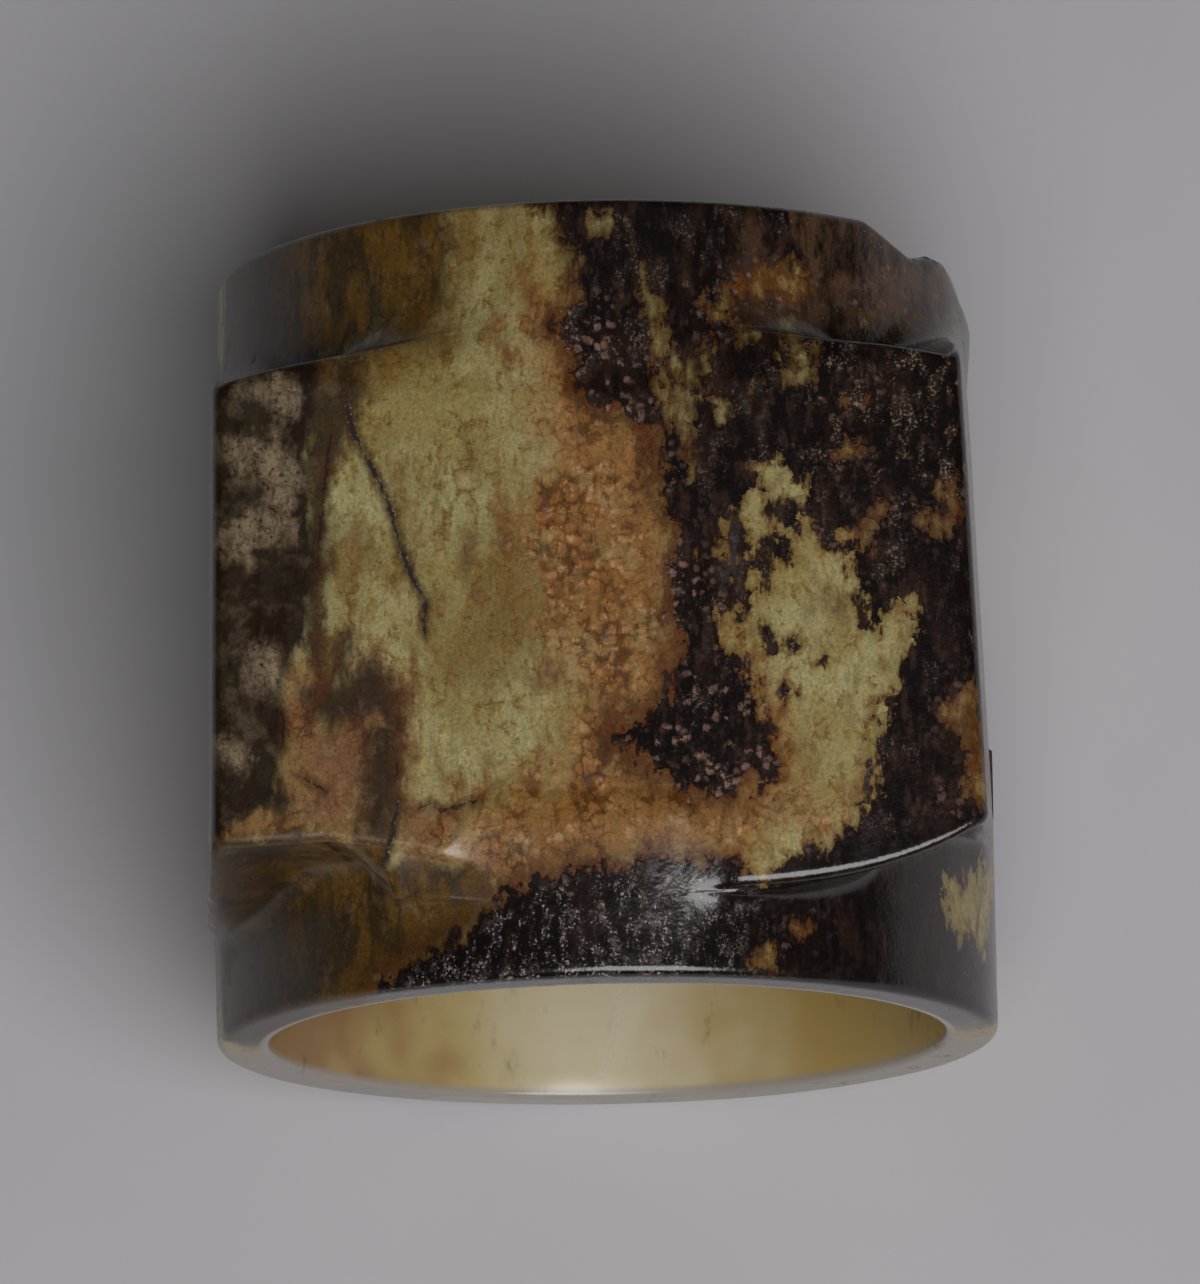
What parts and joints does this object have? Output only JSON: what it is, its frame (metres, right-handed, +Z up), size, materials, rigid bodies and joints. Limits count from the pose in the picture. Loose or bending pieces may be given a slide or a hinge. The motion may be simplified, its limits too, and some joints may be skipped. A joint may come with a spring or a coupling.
{
  "type": "jade cong",
  "caption": "Plain squared jade tube with a round bore through it and a low round collar at each end, its rim and one shoulder chipped.",
  "frame": {"origin": "on the table under the middle of the piece, which lies on one of its four faces", "axes": "+Z up, +Y along the bore towards the narrower, chipped end, +X to the right of the upper face"},
  "size_m": [0.056, 0.0556, 0.0564],
  "materials": {
    "nephrite": "polished nephrite, mottled yellow-green, russet and brown-black, with old cracks and chips"
  },
  "bodies": {
    "root": {"jade_cong": "nephrite"}
  },
  "joints": []
}
